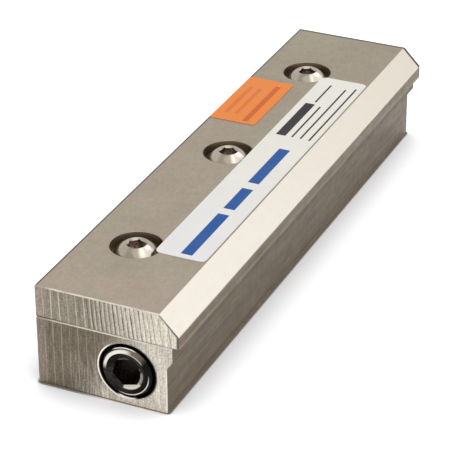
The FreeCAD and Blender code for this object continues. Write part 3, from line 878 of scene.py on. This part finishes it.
def thread(name, size, place, material):
    """A helical ridge as a piece, put in its place."""
    shape = helix(*size)
    bmesh.ops.transform(shape, matrix=place @ Matrix.Scale(MM, 4), verts=shape.verts)
    bmesh.ops.recalc_face_normals(shape, faces=shape.faces)
    mesh = bpy.data.meshes.new(name)
    shape.to_mesh(mesh)
    shape.free()
    mesh.materials.append(material)
    piece = bpy.data.objects.new(name, mesh)
    bpy.context.scene.collection.objects.link(piece)
    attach(piece, "root")
    measured = [round(value / MM, 2) for value in piece.dimensions]
    print(name, "has", len(mesh.polygons), "faces, size in mm:", measured)


print("a thread is one section, spun", STEPS, "steps a turn")

# %% [markdown]
# Each thread is coloured by its distance from its own axis: the crests get a painted highlight and
# the roots painted shade. A thread's size is the radius of its wall and of its crest, its pitch,
# how many turns it has, and how much it tapers a millimetre. The pipe threads lie along the ports'
# axis, so their helix is laid down sideways.

# %% The knife's threads
PIPE_PITCH, MOUNTING_PITCH = 1.411, 1.27
INLET_SIZE = 6.63, 5.95, PIPE_PITCH, 8.25, -0.028
PLUG_SIZE = 6.15, 6.72, PIPE_PITCH, 1.3, 0.0
MOUNTING_SIZE = 3.2, 2.6, MOUNTING_PITCH, 5.5, 0.0
INLET_START, PLUG_START, MOUNTING_START = 74.7, -75.1, 0.55
THREAD_CREST, THREAD_STREAKS = colour(188, 179, 165), ((1.2, 1.2, 1.2), 2.0)


def cut_thread(name, axis, root, crest):
    """Steel with painted shade at the root of a thread and a painted highlight at its crest."""
    made, tree, spot, _ = new_material(name)
    radius = place_group(tree, axis, Vector=spot)["Radius"]
    streaks = grained(tree, spot, *THREAD_STREAKS)
    tone = mix(tree, ramp(tree, radius, root, crest), DARK, THREAD_CREST)
    rough = ramp(tree, streaks, 0.0, 1.0, 0.26, 0.38)
    finish_material(tree, shaded(tree, tone, streaks, 0.18), rough, 1.0)
    return made


def at(x, y, z):
    """A place in millimetres, as a matrix in metres."""
    return Matrix.Translation(Vector((x, y, z)) * MM)


def laid(quarters):
    """Turns a helix from upright to lie along the bar, by quarter turns."""
    return Matrix.Rotation(quarters * math.pi / 2, 4, "Y")


thread("inlet_thread", INLET_SIZE, at(INLET_START, PORT_Y, PORT_Z) @ laid(-1),
       cut_thread("pipe_thread_steel", port_axis, 6.6, 5.9))
thread("plug_thread", PLUG_SIZE, at(PLUG_START, PORT_Y, PORT_Z) @ laid(1),
       cut_thread("plug_thread_steel", port_axis, 6.2, 6.6))
mounting_steel = cut_thread("mounting_thread_steel", screw_row, 3.15, 2.7)
for number in (1, 2, 3):
    place = at((number - 2) * SCREW_PITCH, SCREW_LINE, MOUNTING_START)
    thread(f"mounting_thread_{number}", MOUNTING_SIZE, place, mounting_steel)

# %% [markdown]
# ## Labels
#
# Two film labels are stuck on the cap. The white one carries plain print, three blue bars, a black
# one and four thin rules, and a grey line of painted shadow along its front edge; the orange one
# carries three bars of plain print. Print is a thin even layer of ink, so it needs no geometry. A
# group tests whether a point is inside a rectangle, and the material lays each rectangle over the
# film in turn. The film itself is a little cloudy and satin.

# %% Print on film
INK_SIDE = 0.04
FILM_LENGTH, FILM_CLOUDS = (-60.0, 10.0), 8.0
SPECKS, SPECK_DEPTH = ((3.0, 3.0, 1.0), 1.5), 0.004
FILM_SPECULAR = 0.25

print_block, takes, gives = new_group(
    "print_block",
    [("Vector", VECTOR, None), ("Low", VECTOR, None), ("High", VECTOR, None)],
    [("Mask", FLOAT)])
above = add(print_block, "ShaderNodeVectorMath", {0: takes["Vector"], 1: takes["Low"]},
            operation="SUBTRACT")
below = add(print_block, "ShaderNodeVectorMath", {0: takes["High"], 1: takes["Vector"]},
            operation="SUBTRACT")
nearest = add(print_block, "ShaderNodeVectorMath", {0: above.outputs[0], 1: below.outputs[0]},
              operation="MINIMUM")
inside_x, inside_y, _ = split(print_block, nearest.outputs[0])
inside = ramp(print_block, maths(print_block, "MINIMUM", inside_x, inside_y),
              -INK_SIDE, INK_SIDE)
print_block.links.new(inside, gives["Mask"])


def printed_film(name, near, far, blocks):
    """Film whose tone goes from near the plug to far from it, with rectangles of colour on it.

    A rectangle is (left, right, front, back, colour), in millimetres.
    """
    made, tree, spot, _ = new_material(name)
    clouds = clouded(tree, spot, FILM_CLOUDS)
    along, _, _ = split(tree, spot)
    base = shaded(tree, mix(tree, ramp(tree, along, *FILM_LENGTH), near, far), clouds, 0.02)
    specks = grained(tree, spot, *SPECKS)
    for left, right, front, back, block_tone in blocks:
        mask = place_group(tree, print_block, Vector=spot, Low=(left, front, 0.0),
                           High=(right, back, 0.0))["Mask"]
        base = mix(tree, mask, base, shaded(tree, block_tone, specks, 0.12))
    rough = ramp(tree, clouds, 0.0, 1.0, 0.4, 0.52)
    surface = finish_material(tree, base, rough, 0.0, specks, SPECK_DEPTH)
    surface.inputs["Specular IOR Level"].default_value = FILM_SPECULAR
    return made


WHITE, WHITE_WARM, ORANGE = colour(238, 236, 236), colour(238, 235, 226), colour(240, 137, 54)
BLUE, BLACK, LABEL_EDGE_SHADOW = colour(8, 82, 158), colour(26, 25, 24), colour(176, 172, 166)
FADED, RUST = colour(224, 118, 46), colour(210, 100, 34)
WHITE_PRINT = [
    (-50.4, -29.8, -8.9, -6.0, BLUE), (-27.0, -16.0, -8.9, -6.0, BLUE),
    (-12.8, 6.6, -8.9, -6.0, BLUE), (13.6, 33.2, -4.6, -2.0, BLACK),
    (34.4, 45.4, -4.4, -3.9, BLACK), (13.6, 32.4, -6.6, -6.1, BLACK),
    (13.6, 44.4, -8.9, -8.4, BLACK), (13.4, 45.8, -11.3, -10.8, BLACK),
    # A grey line of painted shadow along the front edge.
    (-60.0, 60.0, -13.0, -12.75, LABEL_EDGE_SHADOW),
]
ORANGE_PRINT = [
    (19.8, 36.2, 14.1, 15.2, FADED), (20.2, 36.0, 11.4, 12.5, FADED),
    (17.0, 39.0, 7.4, 8.9, RUST),
]
dress("white_label", printed_film("white_film", WHITE, WHITE_WARM, WHITE_PRINT))
dress("orange_label", printed_film("orange_film", ORANGE, ORANGE, ORANGE_PRINT))

# %% [markdown]
# ## Floor and light
#
# The knife stands on a plain white table under soft light. The floor is a wide disc a hair under
# the knife, so that the two don't fight for the same height.

# %% Floor
FLOOR_RADIUS, FLOOR_DROP = 4.0, 0.00005
shape = bmesh.new()
bmesh.ops.create_circle(shape, cap_ends=True, radius=FLOOR_RADIUS, segments=64)
bmesh.ops.translate(shape, verts=shape.verts, vec=(0, 0, -FLOOR_DROP))
mesh = bpy.data.meshes.new("floor")
shape.to_mesh(mesh)
shape.free()
floor = bpy.data.objects.new("floor", mesh)
bpy.context.scene.collection.objects.link(floor)
floor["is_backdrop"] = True
print("floor", FLOOR_RADIUS, "m across its radius")

# %% [markdown]
# A little glow, shown only to the eye and to reflections, takes the table to full white without
# lighting the knife any more. It is weakest beside the knife, so the shadow stays. Where the
# knife stands, a thin line of painted contact shadow lies on the table, and under the plugged end
# that line is a painted reflection of the end's tones, which glows a little too. The line could be
# a mirror coat, but that would mirror the walls as well. Ambient occlusion finds both places: it
# tells how much of the sky over a point is covered, within a distance.

# %% Table top
# A painted contact shadow, and the plugged end's tones for a painted reflection.
TABLE, CONTACT_SHADOW = colour(243, 244, 247), colour(136, 128, 118)
END_BACK, END_FRONT = colour(122, 114, 104), colour(222, 214, 203)
WHITE_LIGHT = 1.0, 1.0, 1.0, 1.0
CONTACT_REACH, CONTACT_SKY = 1.1, (0.92, 0.76)
GLOW_REACH, GLOW_SKY, GLOW_LEVEL = 12.5, (0.5, 0.95), (0.16, 0.42)
END_PALES, NEAR_END, MIRROR_GLOW = (8.0, 18.0), (-76.0, -76.4), 0.32


def shown(tree):
    """1 where the eye meets a surface: directly, in a reflection, or through glass."""
    path = add(tree, "ShaderNodeLightPath").outputs
    either = maths(tree, "MAXIMUM", path["Is Camera Ray"], path["Is Glossy Ray"])
    return maths(tree, "MAXIMUM", either, path["Is Transmission Ray"])


def open_sky(tree, reach):
    """How open the sky over a point is, within reach millimetres."""
    return add(tree, "ShaderNodeAmbientOcclusion", {"Distance": reach * MM},
               samples=16).outputs["AO"]


made, tree, spot, _ = new_material("pale_table")
contact_shadow = ramp(tree, open_sky(tree, CONTACT_REACH), *CONTACT_SKY)
along, _, _ = split(tree, spot)
near_end = ramp(tree, along, *NEAR_END)
mirrored = mix(tree, ramp(tree, from_the_back(tree, spot), *END_PALES), END_BACK, END_FRONT)
line = mix(tree, near_end, CONTACT_SHADOW, mirrored)
glow = ramp(tree, open_sky(tree, GLOW_REACH), *GLOW_SKY, *GLOW_LEVEL)
clear = maths(tree, "SUBTRACT", 1.0, contact_shadow)
level = maths(tree, "MULTIPLY_ADD", glow, clear, times(tree, contact_shadow, near_end, MIRROR_GLOW))
surface = finish_material(tree, mix(tree, contact_shadow, TABLE, line), 0.9, 0.0)
tree.links.new(mix(tree, contact_shadow, WHITE_LIGHT, line), surface.inputs["Emission Color"])
tree.links.new(times(tree, shown(tree), level), surface.inputs["Emission Strength"])
mesh.materials.append(made)
print("the table wears", made.name)

# %% [markdown]
# The world stands for the white walls of a studio. It lights the knife at three quarters and
# shows itself as full white. Three softboxes do the rest: a large one overhead, a small one high
# up to the right, and a low one far off to the right, which the bevel alone mirrors towards the
# eye.

# %% World and softboxes
WALL_LEVEL = 0.75
world = bpy.data.worlds.new("studio")
bpy.context.scene.world = world
world.use_nodes = True
tree = world.node_tree
tree.nodes.clear()
strength = ramp(tree, shown(tree), 0.0, 1.0, WALL_LEVEL, 1.0, smooth=False)
backdrop = add(tree, "ShaderNodeBackground", {"Color": WHITE_LIGHT, "Strength": strength})
output = add(tree, "ShaderNodeOutputWorld")
tree.links.new(backdrop.outputs[0], output.inputs["Surface"])


def softbox(name, direction, distance, width, height, watts):
    """An area lamp that looks at the knife from a direction."""
    lamp = bpy.data.lights.new(name, "AREA")
    lamp.shape = "RECTANGLE"
    lamp.size, lamp.size_y = width, height
    lamp.energy = watts
    made = bpy.data.objects.new(name, lamp)
    bpy.context.scene.collection.objects.link(made)
    way = Vector(direction).normalized()
    facing = way.to_track_quat("Z", "Y").to_matrix().to_4x4()
    made.matrix_world = Matrix.Translation(way * distance) @ facing
    print(name, "at", [round(value, 2) for value in made.location], "gives", watts, "W")


softbox("low_softbox", (0.70, -0.60, 0.39), 2.5, 1.2, 0.8, 0.9)
softbox("side_softbox", (0.66, -0.24, 0.70), 1.2, 0.35, 0.35, 1.0)
softbox("overhead_softbox", (-0.2, -0.2, 1.0), 1.2, 1.0, 1.0, 2.2)

# %% [markdown]
# ## Finish
#
# The box of everything shown is measured again, and how far its upper corner lies past the solids'
# box is printed.

# %% Keep both boxes and finish
visual_box = [list(corner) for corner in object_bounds()]
grown = [round((now - then) / MM, 3) for then, now in zip(cad_box[1], visual_box[1])]
print("grown by, in mm:", grown)
